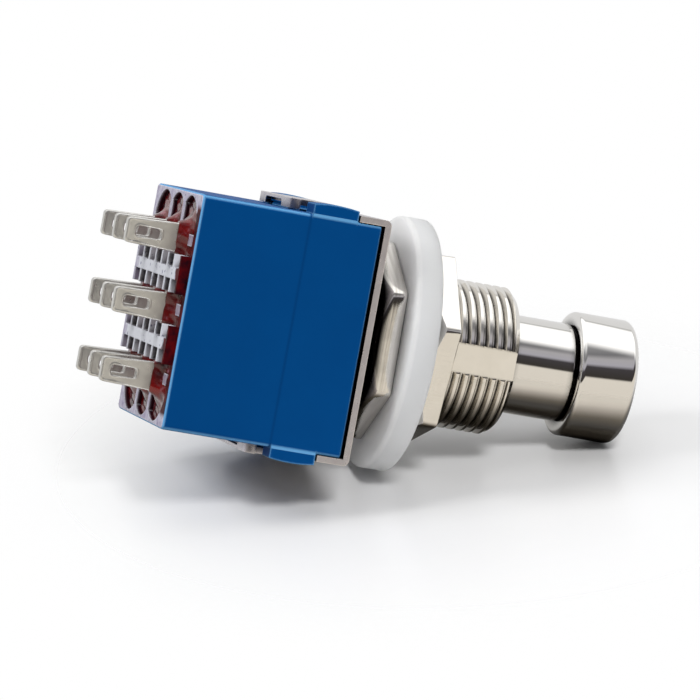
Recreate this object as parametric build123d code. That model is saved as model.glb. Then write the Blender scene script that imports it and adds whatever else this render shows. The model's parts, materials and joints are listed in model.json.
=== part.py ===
from build123d import *
import os
from math import cos, pi, radians, sin, tan

# Latching three-pole footswitch, in millimetres.
# Origin: on the button's axis, at the front face of the frame's plate.
# +Z runs along the button, out of the panel. The frame's arms lie on the X sides.
# The poles run along Y, so each see-saw blade tilts about an X axis.

# ---- driving dimensions ----
housing_x = 18.5            # between the two faces that the arms lie on
housing_y = 17.5
housing_rear = 15.25        # depth of the rear rim behind the plate's front face
housing_wall = 1.3
housing_edge_r = 0.4
rear_edge = 0.15
seam_gap = 0.05             # between the housing's front edge and the plate
seam_step = 0.22            # the long front edges stand back, which leaves a dark seam
seam_width = 0.6

rail_height = 0.8           # guide rails beside the arms, proud of the housing
rail_width = 2.4
rail_front = 2.75
rail_rear = 6.4
rail_crown = 0.15

sheet = 0.5                 # frame's sheet metal
flange_depth = 2.6
bend_r = 0.5
arm_width = 11.0            # across the arm's hollow head, behind the rails
arm_waist = 9.0             # between the rails
arm_rear = 7.65             # where the head ends, behind the plate
arm_lift = 0.4              # how far the arm stands off the housing once past its step
arm_step = 0.9
arm_corner_r = 0.8
head_length = 0.9
head_gap = 0.08             # between the head's turned-in edges and the housing
window_width = 5.6          # opening in the head's end wall
window_height = 0.62
window_corner = 0.2
catch_r = 0.3               # moulded catch inside the head
catch_length = 8.6

collar_r = 6.6
collar_height = 0.55
thread_r = 6.0
thread_pitch = 0.75
thread_top = 13.0
thread_chamfer = 0.5
keyway_width = 2.5
keyway_depth = 0.8
bushing_lip = 0.8           # inner lip that the return spring stands on
tail_r = 5.2                # bushing's rim, turned over behind the plate
tail_height = 0.5
tail_edge = 0.2
neck_r = 4.6

nut_flats = 14.0
nut_height = 2.3
nut_chamfer = 0.1
inner_nut_turn = -2.3       # degrees from a corner on +X
outer_nut_turn = 14.8
washer_r = 10.2
washer_bore_r = 6.15
washer_height = 2.25
washer_edge = 0.3

cap_r = 5.05
cap_bottom = 18.5
cap_height = 4.9
cap_chamfer = 0.3
cap_round = 0.55
stem_r = 3.98
stem_bottom = 8.0           # shoulder that the return spring pushes on
rod_r = 2.1
travel = 2.5

shaft_clearance = 0.07      # stem in bushing
rod_clearance = 0.15
pin_clearance = 0.04
thread_clearance = 0.02     # between a nut and the thread's pitch line
slip = 0.1                  # small moving pieces and their seats
press_gap = 0.45            # left under the pusher at the end of the travel
spring_gap = 0.02           # at each end of a spring

clip_thickness = 0.4
clip_r = 3.2
clip_groove = 0.45
clip_mouth = 2.7
clip_play = 0.02

pusher_pin_r = 0.5
pusher_width = 1.2
pusher_reach = 2.3          # from its pin to the tip
pusher_tip_r = 0.55
pusher_eye_r = 0.9
fork_slot = 1.4

return_flats = 14           # straight pieces in one turn of a spring
plunger_flats = 12
return_wire_r = 0.3
return_coil_r = 3.5
return_turns = 5

guide_thickness = 1.0
guide_hole_r = 2.4
guide_post = 1.1
guide_corner = 0.5
guide_lift = 1.1            # above the rocker's axis

rocker_tilt = 15.0          # modelled at one latched end
socket_wall = 0.3           # beyond the outer sockets
rocker_half_width = 1.3
rocker_depth = 2.6          # below the trunnion axis
rocker_edge = 0.25
cradle_drop = 0.25          # lowest point of the crown, below the axis
cradle_slope = 12.0
crown_half_length = 1.6
crown_root = 1.4            # where the crown's webs run out, below the axis
horn_reach = 2.0
horn_thickness = 0.5
trunnion_r = 0.8
trunnion_gap = 0.35         # between a trunnion's end and the housing's wall

plunger_r = 0.8
plunger_neck = 0.15         # the wide part ends this far inside the socket's mouth
plunger_tip_r = 0.55
plunger_reach = 3.4         # from the rocker's axis to the plunger's tip
plunger_top = 1.4
socket_top = 0.75
plunger_wire_r = 0.09
plunger_turns = 1.5

pole_pitch = 5.5            # lugs and blades, along X
throw_pitch = 4.75          # lugs of one pole, along Y
blade_tilt = 6.0
blade_thickness = 0.4
blade_width = 2.0
blade_corner = 0.5
blade_half_length = 5.5
blade_wall = 0.3
blade_wall_height = 0.45
blade_wall_length = 2.6

floor_thickness = 1.5
pole_wall = 0.6             # low walls between the poles
lug_reach = 4.75            # from the rear rim to the lugs' tips
lug_thickness = 0.8
lug_tip_width = 2.0
lug_root_width = 2.4
lug_corner = 0.45
lug_inner_width = 1.6
lug_edge = 0.32             # bevel of a common lug's inner edge
lug_gap = 0.02              # between a lug and its slot
eyelet_width = 0.8
eyelet_length = 2.0
eyelet_end = 0.8            # metal left between the eyelet and the tip
eyelet_corner = 0.2
contact_size = 1.6
contact_height = 0.16
contact_gap = 0.06

rear_rim = 0.9
rear_rib = 0.7              # between the rounded pockets at the outer lugs
pocket_r = 3.45
wall_rib = 0.9              # opposite each lug of the two outer rows
wall_rib_reach = 2.1
wall_rib_drop = 0.1         # below the rim
island_x = pole_pitch / 2   # combs between the poles
island_width = 0.9
island_rise = 0.75          # proud of the rim
island_length = 16.8
tooth_pitch = 2.34
tooth_width = 0.44
tooth_reach = 1.5
tooth_count = 8
channel = 0.7               # passage for the resin under the middle of each comb
moat_depth = 1.05           # from the rear rim to the floor
potting_depth = 0.65
mound_height = 1.1
mound_x = 3.0
mound_y = 1.7
mound_taper = 18.0

# ---- places worked out from them ----
pitch_r = thread_r - 0.3248 * thread_pitch
inner_nut_z = collar_height
washer_z = inner_nut_z + nut_height
outer_nut_z = washer_z + washer_height
free_thread_z = outer_nut_z + nut_height
bushing_bore_r = stem_r + shaft_clearance
lip_bore_r = rod_r + rod_clearance
flange_x = housing_x / 2 + sheet
cavity_x = housing_x - 2 * housing_wall
cavity_y = housing_y - 2 * housing_wall
housing_front = -sheet - seam_gap
clip_z = -sheet - tail_height - slip - clip_thickness
catch_z = -arm_rear + sheet + slip + catch_r
floor_bottom = -housing_rear + moat_depth
floor_top = floor_bottom + floor_thickness
potting_top = floor_bottom - potting_depth
lug_tip = -housing_rear - lug_reach
blade_drop = (throw_pitch + contact_size / 2) * sin(radians(blade_tilt))
blade_z = floor_top + contact_height + contact_gap + blade_drop
rocker_z = blade_z + blade_thickness + slip + plunger_reach
guide_bottom = rocker_z + guide_lift
guide_top = guide_bottom + guide_thickness
pusher_pin_z = rocker_z - cradle_drop + press_gap + travel + pusher_reach
rod_bottom = pusher_pin_z - pusher_eye_r
bearing_r = trunnion_r + slip
rocker_half_length = pole_pitch + plunger_r + slip + socket_wall
trunnion_end = cavity_x / 2 - trunnion_gap
poles = [-pole_pitch, 0.0, pole_pitch]
throws = [-throw_pitch, throw_pitch]


def block(x0, x1, y0, y1, z0, z1):
    """Box between two opposite corners."""
    size = (x1 - x0, y1 - y0, z1 - z0)
    centre = ((x0 + x1) / 2, (y0 + y1) / 2, (z0 + z1) / 2)
    return Pos(*centre) * Box(*size)


def disc(radius, z0, z1, x=0.0, y=0.0):
    """Upright cylinder between two heights."""
    return Pos(x, y, (z0 + z1) / 2) * Cylinder(radius, z1 - z0)


def x_rod(radius, x0, x1, y, z):
    """Cylinder along X."""
    return Pos((x0 + x1) / 2, y, z) * Rot(0, 90, 0) * Cylinder(radius, x1 - x0)


def turned(points):
    """Solid of revolution about Z from a closed outline of (radius, height) points."""
    outline = Polyline(*[(r, 0, z) for r, z in points], close=True)
    return revolve(make_face(outline), Axis.Z)


def side_profile(points, half_length):
    """Closed outline of (y, z) points carried along X, both ways from the middle."""
    outline = Polyline(*[(-half_length, y, z) for y, z in points], close=True)
    return extrude(make_face(outline), amount=2 * half_length, dir=(1, 0, 0))


# ---- housing ----
def combs(bottom, top):
    """The two bars between the poles, each with its row of teeth."""
    bars = []
    for x in (-island_x, island_x):
        bars.append(block(x - island_width / 2, x + island_width / 2,
                          -island_length / 2, island_length / 2, bottom, top))
        for step in range(round(tooth_count)):
            y = (step - (tooth_count - 1) / 2) * tooth_pitch
            bars.append(block(x - tooth_reach, x + tooth_reach, y - tooth_width / 2,
                              y + tooth_width / 2, bottom, top))
    return bars


def rear_recess(depth_top):
    """Moat for the potting: everything inside the rim but the ribs and the two combs."""
    half_y = housing_y / 2 - rear_rim
    moat = block(-pole_pitch, pole_pitch, -half_y, half_y, -housing_rear, depth_top)
    for side in (-1, 1):
        x = side * pole_pitch
        for y in [0.0] + throws:
            low = max(y - (throw_pitch - rear_rib) / 2, -half_y) if y > -throw_pitch else -half_y
            high = min(y + (throw_pitch - rear_rib) / 2, half_y) if y < throw_pitch else half_y
            x0, x1 = sorted((x, x + side * pocket_r))
            pocket = disc(pocket_r, -housing_rear, depth_top, x, y)
            moat += pocket & block(x0, x1, low, high, -housing_rear, depth_top)
    for x in poles:
        for side in (-1, 1):
            y0, y1 = sorted((side * half_y, side * (half_y - wall_rib_reach)))
            moat -= block(x - wall_rib / 2, x + wall_rib / 2, y0, y1,
                          -housing_rear + wall_rib_drop, depth_top)
    moat -= combs(-housing_rear, depth_top)
    for x in (-island_x, island_x):
        moat += block(x - island_width / 2, x + island_width / 2, -channel / 2, channel / 2,
                      potting_top, depth_top)
    return moat


def lug_slots():
    """The nine slots through the housing's floor."""
    slots = []
    half_x = lug_inner_width / 2 + lug_gap
    half_y = lug_thickness / 2 + lug_gap
    for x in poles:
        for y in [0.0] + throws:
            slots.append(block(x - half_x, x + half_x, y - half_y, y + half_y,
                               floor_bottom - 1, floor_top + 1))
    return slots


def make_housing():
    half_x, half_y = housing_x / 2, housing_y / 2
    shell = block(-half_x, half_x, -half_y, half_y, -housing_rear, housing_front)
    shell = fillet(shell.edges().filter_by(Axis.Z), housing_edge_r)
    rear_edges = shell.faces().sort_by(Axis.Z)[0].edges()
    shell = chamfer(rear_edges, rear_edge)
    # guide rails: a shallow crowned outline, flush with the Y sides
    for side in (-1, 1):
        low, high = side * (half_x - housing_wall / 2), side * (half_x + rail_height)
        crown = side * (half_x + rail_height + rail_crown)
        middle = -(rail_front + rail_rear) / 2
        edges = [Line((low, 0, -rail_front), (high, 0, -rail_front)),
                 ThreePointArc((high, 0, -rail_front), (crown, 0, middle), (high, 0, -rail_rear)),
                 Line((high, 0, -rail_rear), (low, 0, -rail_rear)),
                 Line((low, 0, -rail_rear), (low, 0, -rail_front))]
        outline = make_face(edges)
        for y0 in (-half_y, half_y - rail_width):
            shell += Pos(0, y0, 0) * extrude(outline, amount=rail_width, dir=(0, 1, 0))
        shell += Pos(side * half_x, 0, catch_z) * Rot(90, 0, 0) * Cylinder(catch_r, catch_length)
        y0, y1 = sorted((side * (half_y - seam_width), side * (half_y + 1)))
        shell -= block(-half_x - 1, half_x + 1, y0, y1, housing_front - seam_step, housing_front + 1)
    shell -= block(-cavity_x / 2, cavity_x / 2, -cavity_y / 2, cavity_y / 2,
                   floor_top, housing_front + 1)
    shell -= rear_recess(floor_bottom)
    shell += combs(-housing_rear - island_rise, -housing_rear + rear_edge)
    # ledges for the guide plate's corners, and lower halves of the rocker's bearings
    for x in (-1, 1):
        for y in (-1, 1):
            x0, x1 = sorted((x * (cavity_x / 2 - guide_post), x * cavity_x / 2))
            y0, y1 = sorted((y * (cavity_y / 2 - guide_post), y * cavity_y / 2))
            shell += block(x0, x1, y0, y1, floor_top, guide_bottom)
        x0, x1 = sorted((x * (rocker_half_length + 2 * slip), x * cavity_x / 2))
        pillar = block(x0, x1, -2 * trunnion_r, 2 * trunnion_r, floor_top, rocker_z)
        shell += pillar - x_rod(bearing_r, x0 - 1, x1 + 1, 0, rocker_z)
    # low walls between the poles
    wall_top = rocker_z - rocker_depth - rocker_half_width * sin(radians(rocker_tilt)) - slip
    for x in (-island_x, island_x):
        shell += block(x - pole_wall / 2, x + pole_wall / 2, -cavity_y / 2, cavity_y / 2,
                       floor_top, wall_top)
    return shell - lug_slots()


# ---- frame ----
def make_arm(side):
    """Arm along one X side: it steps out between the rails, and its hollow head snaps
    over the catch."""
    near, lifted = housing_x / 2, housing_x / 2 + arm_lift
    root, step, head = -flange_depth + bend_r, -rail_front, -arm_rear + head_length
    inside = [(near, root), (near, step), (lifted, step - arm_step), (lifted, head)]
    outside = [(x + sheet, z) for x, z in reversed(inside)]
    outline = make_face(Polyline(*[(side * x, 0, z) for x, z in inside + outside], close=True))
    arm = extrude(outline, amount=arm_waist / 2, dir=(0, 1, 0), both=True)
    x0, x1 = sorted((side * (near + head_gap), side * (lifted + sheet)))
    cap = block(x0, x1, -arm_width / 2, arm_width / 2, -arm_rear, head)
    tips = [e for e in cap.edges().filter_by(Axis.X) if e.center().Z < head - 0.01]
    cap = fillet(tips, arm_corner_r)
    inner = arm_width / 2 - sheet
    x0, x1 = sorted((side * near, side * lifted))
    cap -= block(x0, x1, -inner, inner, -arm_rear + sheet, head + 1)
    x0, x1 = sorted((side * (near - 1), side * (near + window_height)))
    window = block(x0, x1, -window_width / 2, window_width / 2, -arm_rear - 1, -arm_rear + sheet)
    cap -= chamfer(window.edges().filter_by(Axis.Z), window_corner)
    return arm + cap


def make_frame():
    half_y = housing_y / 2
    channel = block(-flange_x, flange_x, -half_y, half_y, -flange_depth, 0)
    corners = [e for e in channel.edges().filter_by(Axis.Y) if abs(e.center().Z) < 0.01]
    channel = fillet(corners, bend_r)
    channel -= block(-flange_x + sheet, flange_x - sheet, -half_y - 1, half_y + 1,
                     -flange_depth - 1, -sheet)
    for side in (-1, 1):
        channel += make_arm(side)
    return channel - disc(neck_r, -sheet - 1, 1)


# ---- bushing, nuts and washer ----
def make_bushing():
    tail_bottom = -sheet - tail_height
    body = turned([
        (lip_bore_r, tail_bottom), (tail_r - tail_edge, tail_bottom), (tail_r, tail_bottom + tail_edge),
        (tail_r, -sheet), (neck_r, -sheet), (neck_r, 0), (collar_r, 0),
        (collar_r, collar_height), (pitch_r, collar_height), (pitch_r, free_thread_z),
        (thread_r, free_thread_z), (thread_r, thread_top - thread_chamfer),
        (thread_r - thread_chamfer, thread_top), (bushing_bore_r, thread_top),
        (bushing_bore_r, bushing_lip), (lip_bore_r, bushing_lip)])
    keyway = block(-keyway_width / 2, keyway_width / 2, -thread_r - 1,
                   -thread_r + keyway_depth, collar_height, thread_top + 1)
    return body - keyway


def make_nut(z, turn):
    """Hex nut whose rear face is chamfered by a 30 degree cone."""
    corner_r = nut_flats / 2 / cos(radians(30))
    hexagon = RegularPolygon(nut_flats / 2, 6, major_radius=False, rotation=turn)
    blank = extrude(hexagon, amount=nut_height)
    drop = (corner_r - nut_flats / 2 + nut_chamfer) * tan(radians(30))
    face_r = nut_flats / 2 - nut_chamfer
    cone = turned([(0, 0), (face_r, 0), (corner_r, drop), (corner_r, nut_height), (0, nut_height)])
    nut = (blank & cone) - Cylinder(pitch_r + thread_clearance, 3 * nut_height)
    return Pos(0, 0, z) * nut


def make_washer():
    ring = disc(washer_r, washer_z, outer_nut_z) - disc(washer_bore_r, washer_z - 1, outer_nut_z + 1)
    rims = [e for e in ring.edges().filter_by(GeomType.CIRCLE) if e.radius > washer_r - 0.01]
    return chamfer(rims, washer_edge)


# ---- button and what it carries ----
def make_button():
    cap_top = cap_bottom + cap_height
    body = disc(cap_r, cap_bottom, cap_top)
    top_rim = [e for e in body.edges().filter_by(GeomType.CIRCLE) if e.center().Z > cap_top - 0.01]
    body = fillet(top_rim, cap_round)
    low_rim = [e for e in body.edges().filter_by(GeomType.CIRCLE) if e.center().Z < cap_bottom + 0.01]
    body = chamfer(low_rim, cap_chamfer)
    body += disc(stem_r, stem_bottom, cap_bottom)
    body += disc(rod_r, rod_bottom, stem_bottom)
    groove = disc(rod_r + 1, clip_z - clip_play, clip_z + clip_thickness + clip_play)
    body -= groove - disc(rod_r - clip_groove, clip_z - 1, clip_z + 1)
    slot_top = pusher_pin_z + pusher_eye_r + slip
    body -= block(-fork_slot / 2, fork_slot / 2, -rod_r - 1, rod_r + 1, rod_bottom - 1, slot_top)
    return body - x_rod(pusher_pin_r, -rod_r - 1, rod_r + 1, 0, pusher_pin_z)


def make_clip():
    """Open retaining clip that snaps into the rod's groove from the side."""
    inner = rod_r - clip_groove + clip_play
    ring = disc(clip_r, clip_z, clip_z + clip_thickness) - disc(inner, clip_z - 1, clip_z + 1)
    return ring - block(-clip_mouth / 2, clip_mouth / 2, 0, clip_r + 1, clip_z - 1, clip_z + 1)


def make_pusher_pin():
    length = (rod_r ** 2 - pusher_pin_r ** 2) ** 0.5
    return x_rod(pusher_pin_r, -length, length, 0, pusher_pin_z)


def make_pusher():
    half = pusher_width / 2
    tip_z = pusher_pin_z - pusher_reach + pusher_tip_r
    body = block(-half, half, -pusher_tip_r, pusher_tip_r, tip_z, pusher_pin_z)
    body += x_rod(pusher_tip_r, -half, half, 0, tip_z)
    body += x_rod(pusher_eye_r, -half, half, 0, pusher_pin_z)
    return body - x_rod(pusher_pin_r + pin_clearance, -half - 1, half + 1, 0, pusher_pin_z)


def coil(coil_r, wire_r, z0, z1, turns, flats):
    """Compression spring with its wire's centre line from z0 to z1: square wire in short
    flats, each side of it in two plane triangles."""
    count = round(turns * flats)
    rings = []
    for k in range(count + 1):
        angle, z = 2 * pi * k / flats, z0 + (z1 - z0) * k / count
        rings.append([((coil_r + out) * cos(angle), (coil_r + out) * sin(angle), z + up)
                      for out, up in ((wire_r, 0), (0, wire_r), (-wire_r, 0), (0, -wire_r))])
    corners = [rings[0], rings[-1]]
    for one, two in zip(rings, rings[1:]):
        for k in range(4):
            a, b, c, d = one[k], one[k - 1], two[k - 1], two[k]
            corners += [(a, b, c), (a, c, d)]
    return Solid(Shell([make_face(Polyline(*points, close=True)).face() for points in corners]))


def make_return_spring():
    """Stands on the bushing's inner lip and pushes on the stem's shoulder."""
    end = return_wire_r + spring_gap
    return coil(return_coil_r, return_wire_r, bushing_lip + end, stem_bottom - end,
                return_turns, return_flats)


# ---- guide plate, rocker and contacts ----
def make_guide_plate():
    half_x, half_y = cavity_x / 2 - slip, cavity_y / 2 - slip
    plate = block(-half_x, half_x, -half_y, half_y, guide_bottom, guide_top)
    plate = chamfer(plate.edges().filter_by(Axis.Z), guide_corner)
    for x in (-1, 1):
        for y in (-1, 1):
            x0, x1 = sorted((x * (half_x - guide_post), x * half_x))
            y0, y1 = sorted((y * (half_y - guide_post), y * half_y))
            plate += block(x0, x1, y0, y1, guide_top, housing_front)
        x0, x1 = sorted((x * (rocker_half_length + 2 * slip), x * half_x))
        saddle = block(x0, x1, -2 * trunnion_r, 2 * trunnion_r, rocker_z + slip, guide_bottom)
        plate += saddle - x_rod(bearing_r, x0 - 1, x1 + 1, 0, rocker_z)
    return plate - disc(guide_hole_r, guide_bottom - 1, guide_top + 1)


def make_rocker():
    """Beam with three sockets, a shallow V crown and two trunnions, about its own axis."""
    horn_top = -cradle_drop + horn_reach * tan(radians(cradle_slope))
    right = [(horn_reach, horn_top), (horn_reach, horn_top - horn_thickness),
             (rocker_half_width / 2, -crown_root)]
    crown = side_profile([(0, -cradle_drop)] + right + [(-y, z) for y, z in reversed(right)],
                         crown_half_length)
    beam = block(-rocker_half_length, rocker_half_length, -rocker_half_width, rocker_half_width,
                 -rocker_depth, -cradle_drop)
    beam = chamfer(beam.edges().filter_by(Axis.X), rocker_edge)
    body = beam + crown
    for side in (-1, 1):
        x0, x1 = sorted((side * (rocker_half_length - socket_wall / 2), side * trunnion_end))
        body += x_rod(trunnion_r, x0, x1, 0, 0)
    for x in poles:
        body -= disc(plunger_r + slip, -rocker_depth - 1, -socket_top, x, 0)
    return Pos(0, 0, rocker_z) * Rot(rocker_tilt, 0, 0) * body


def make_plunger(x):
    """Turned contact pin: a head that slides in the socket and a thinner, bevelled nose."""
    shoulder = -rocker_depth + plunger_neck
    bevel = plunger_tip_r / 2
    body = turned([(0, -plunger_reach), (plunger_tip_r - bevel, -plunger_reach),
                   (plunger_tip_r, bevel - plunger_reach), (plunger_tip_r, shoulder),
                   (plunger_r, shoulder), (plunger_r, -plunger_top), (0, -plunger_top)])
    return Pos(0, 0, rocker_z) * Rot(rocker_tilt, 0, 0) * Pos(x, 0, 0) * body


def make_plunger_spring(x):
    low = -plunger_top + plunger_wire_r + spring_gap
    high = -socket_top - plunger_wire_r - spring_gap
    wire = coil(plunger_r - plunger_wire_r - slip, plunger_wire_r, low, high,
                plunger_turns, plunger_flats)
    return Pos(0, 0, rocker_z) * Rot(rocker_tilt, 0, 0) * Pos(x, 0, 0) * wire


def make_blade(x):
    """See-saw contact strip: shallow trough at its middle, ears that keep the plunger in it."""
    half = blade_width / 2
    strip = block(-half, half, -blade_half_length, blade_half_length, 0, blade_thickness)
    strip = chamfer(strip.edges().filter_by(Axis.Z), blade_corner)
    top = blade_thickness + blade_wall_height
    for side in (-1, 1):
        x0, x1 = sorted((side * half, side * (half - blade_wall)))
        strip += block(x0, x1, -blade_wall_length / 2, blade_wall_length / 2, 0, top)
    return Pos(x, 0, blade_z) * Rot(-blade_tilt, 0, 0) * strip


def lug_outline(x, top):
    """Flat lug in the XZ plane: inner shank, shoulder at the floor, tapered tag."""
    half_root, half_tip, half_in = lug_root_width / 2, lug_tip_width / 2, lug_inner_width / 2
    c = lug_corner
    right = [(half_in, top), (half_in, floor_bottom), (half_root, floor_bottom),
             (half_tip, lug_tip + c), (half_tip - c, lug_tip)]
    points = right + [(-px, pz) for px, pz in reversed(right)]
    return make_face(Polyline(*[(x + px, 0, pz) for px, pz in points], close=True))


def make_lug(x, y, top):
    plate = extrude(lug_outline(x, top), amount=lug_thickness / 2, dir=(0, 1, 0), both=True)
    low = lug_tip + eyelet_end
    eyelet = block(x - eyelet_width / 2, x + eyelet_width / 2, -1, 1, low, low + eyelet_length)
    eyelet = chamfer(eyelet.edges().filter_by(Axis.Y), eyelet_corner)
    return Pos(0, y, 0) * (plate - eyelet)


def make_common_lug(x):
    """Common lug: its inner edge is sharpened to the line that the blade rocks on."""
    top = blade_z - slip
    lug = make_lug(x, 0.0, top)
    rim = [e for e in lug.edges().filter_by(Axis.X) if abs(e.center().Z - top) < 0.01]
    return chamfer(rim, lug_edge)


def make_throw_lug(x, y):
    """Throw lug: a flat contact pad stands on the floor at its inner end."""
    half = contact_size / 2
    pad = block(x - half, x + half, y - half, y + half, floor_top, floor_top + contact_height)
    return make_lug(x, y, floor_top) + pad


def make_potting():
    fill = rear_recess(floor_bottom) & block(-housing_x, housing_x, -housing_y, housing_y,
                                              potting_top, floor_bottom)
    for x in poles:
        for y in [0.0] + throws:
            base = Pos(x, y, potting_top) * Rectangle(mound_x, mound_y)
            fill += extrude(base, amount=mound_height, dir=(0, 0, -1), taper=mound_taper)
    for x in poles:
        for y in [0.0] + throws:
            fill -= block(x - lug_root_width / 2 - lug_gap, x + lug_root_width / 2 + lug_gap,
                          y - lug_thickness / 2 - lug_gap, y + lug_thickness / 2 + lug_gap,
                          potting_top - mound_height - 1, floor_bottom)
    return fill


# ---- every node ----
nodes = {
    "housing": make_housing(),
    "frame": make_frame(),
    "bushing": make_bushing(),
    "inner_nut": make_nut(inner_nut_z, inner_nut_turn),
    "spacer_washer": make_washer(),
    "outer_nut": make_nut(outer_nut_z, outer_nut_turn),
    "button": make_button(),
    "retaining_clip": make_clip(),
    "pusher_pin": make_pusher_pin(),
    "pusher": make_pusher(),
    "return_spring": make_return_spring(),
    "guide_plate": make_guide_plate(),
    "rocker": make_rocker(),
    "potting": make_potting(),
}
for number, x in enumerate(poles, 1):
    nodes["contact_plunger_%d" % number] = make_plunger(x)
    nodes["plunger_spring_%d" % number] = make_plunger_spring(x)
    nodes["contact_blade_%d" % number] = make_blade(x)
    nodes["common_lug_%d" % number] = make_common_lug(x)
    for letter, y in zip("ab", throws):
        nodes["throw_lug_%d%s" % (number, letter)] = make_throw_lug(x, y)

os.makedirs("parts", exist_ok=True)
for name, solid in nodes.items():
    export_step(solid, "parts/" + name + ".step")
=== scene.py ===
import json
from math import cos, pi, radians, sin, tan

import bmesh
import bpy
import numpy as np
from mathutils import Matrix, Vector


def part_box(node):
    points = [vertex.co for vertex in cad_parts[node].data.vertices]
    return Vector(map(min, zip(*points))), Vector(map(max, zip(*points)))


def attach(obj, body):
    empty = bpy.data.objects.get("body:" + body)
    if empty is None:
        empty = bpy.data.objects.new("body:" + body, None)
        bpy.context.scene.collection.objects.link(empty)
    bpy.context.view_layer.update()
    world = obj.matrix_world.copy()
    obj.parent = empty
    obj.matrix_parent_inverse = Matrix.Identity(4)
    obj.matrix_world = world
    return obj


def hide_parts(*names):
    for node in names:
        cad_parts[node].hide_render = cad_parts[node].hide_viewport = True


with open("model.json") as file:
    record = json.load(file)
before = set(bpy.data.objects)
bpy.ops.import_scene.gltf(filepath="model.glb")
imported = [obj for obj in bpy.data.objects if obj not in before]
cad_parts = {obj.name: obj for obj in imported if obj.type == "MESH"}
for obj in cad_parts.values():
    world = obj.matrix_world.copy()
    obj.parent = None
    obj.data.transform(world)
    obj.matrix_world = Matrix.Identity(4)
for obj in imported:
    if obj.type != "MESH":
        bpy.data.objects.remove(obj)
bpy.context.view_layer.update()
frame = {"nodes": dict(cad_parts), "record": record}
nodes = frame["nodes"]

MM = 0.001

# ---- sizes, in millimetres unless they say otherwise ----
mounts = {m["name"]: m for m in frame["record"]["mounts"]}
THREAD_R = mounts["panel_bushing"]["dims"]["r_mm"]
CAP_R = mounts["button_cap"]["dims"]["r_mm"]


def low_high(node):
    """Lowest and highest corners of a node, in millimetres."""
    low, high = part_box(node)
    return np.array(low) / MM, np.array(high) / MM


BUSHING_LOW, BUSHING_HIGH = low_high("bushing")
INNER_NUT_LOW, INNER_NUT_HIGH = low_high("inner_nut")
OUTER_NUT_LOW, OUTER_NUT_HIGH = low_high("outer_nut")
WASHER_LOW, WASHER_HIGH = low_high("spacer_washer")
BUTTON_LOW, BUTTON_HIGH = low_high("button")
POTTING_LOW, POTTING_HIGH = low_high("potting")
HOUSING_HIGH = low_high("housing")[1]

# metric thread: its depth and its pitch line are these shares of the pitch
THREAD_PITCH = 0.75
THREAD_DEPTH = 0.6134 * THREAD_PITCH
PITCH_R = THREAD_R - 0.3248 * THREAD_PITCH
# shares of the pitch that lie flat at the plated crest and at the root
THREAD_CREST = 0.30
THREAD_ROOT = 0.12
THREAD_CHAMFER = 0.5
COLLAR_R = BUSHING_HIGH[0]
COLLAR_HEIGHT = INNER_NUT_LOW[2]
KEYWAY_WIDTH = 2.5
KEYWAY_DEPTH = 0.8
SHEET = 0.5
NECK_R = 4.6
TAIL_R = 5.2
BORE_R = 4.05
LIP_R = 2.25
LIP_TOP = 0.8

NUT_FLATS = 14.0
NUT_CORNER_R = NUT_FLATS / 2 / cos(radians(30))
NUT_FACE_R = 6.6
NUT_CONE = radians(37)
NUT_BORE_R = 5.78
INNER_NUT_TURN = -2.3
OUTER_NUT_TURN = 14.8

WASHER_BORE_R = 6.15
STEM_R = 3.98
# groove turned in the stem right under the cap
RELIEF_R = STEM_R - 0.2
RELIEF = 0.2
STEM_BOTTOM = low_high("return_spring")[1][2] + 0.02
ROD_R = 2.1
FORK_TOP = -2.0
FORK_HALF = 0.7
CAP_BOTTOM = 18.5

# half width and half depth of the body, whose sides the frame's arms step out past, and the
# heights of its rear rim and of its mould's parting line
ARM_STEP = 0.9
BODY_HALF = (low_high("frame")[1][0] - ARM_STEP, HOUSING_HIGH[1])
REAR_RIM = -15.25
PARTING_LINE = -6.5
FLOOR_BOTTOM = POTTING_HIGH[2]
POTTING_LEVEL = -14.85
POTTING_CLIMB = 1.55
POTTING_REACH = 0.42

LUG_TIP = low_high("common_lug_2")[0][2]
LUG_TIP_HALF = 1.0
LUG_ROOT_HALF = 1.2
LUG_TAIL_HALF = 0.8
LUG_HALF_THICKNESS = 0.4
LUG_POINTS = 144
EYELET_HALF = 0.4
EYELET_FROM_TIP = (0.8, 2.8)
PAD_HALF = 0.8
PAD_THICKNESS = 0.16
POLES = (-5.5, 0.0, 5.5)
THROWS = (-4.75, 0.0, 4.75)

# ---- the view and the stand ----
CAMERA_AT = Vector((-14.673, -363.380, -93.969)) * MM
CAMERA_LOOK = Vector((0.04193, 0.96682, 0.25199)).normalized()
CAMERA_UP = Vector((-0.98284, 0.08526, -0.16356)).normalized()
CAMERA_LENS = 241.8
# up, while the switch lies on its washer, its cap and one corner of its body
REST_UP = Vector((-0.9306, -0.2445, -0.2723)).normalized()
REST_FORWARD = (CAMERA_LOOK - CAMERA_LOOK.dot(REST_UP) * REST_UP).normalized()
REST_RIGHT = REST_FORWARD.cross(REST_UP)
# how far forward the line that washer and cap stand on goes for each step to the right
STAND_SLOPE = 0.179
# metres from the switch to each lamp
LAMP_DISTANCE = 0.45


# ---- mesh helpers ----
# degrees between faces past which an edge is shaded sharp
SHARP = 35.0
# metres within which points count as one, and edges as nothing
SAME_POINT = 1e-7
NO_EDGE = 1e-8


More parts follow.
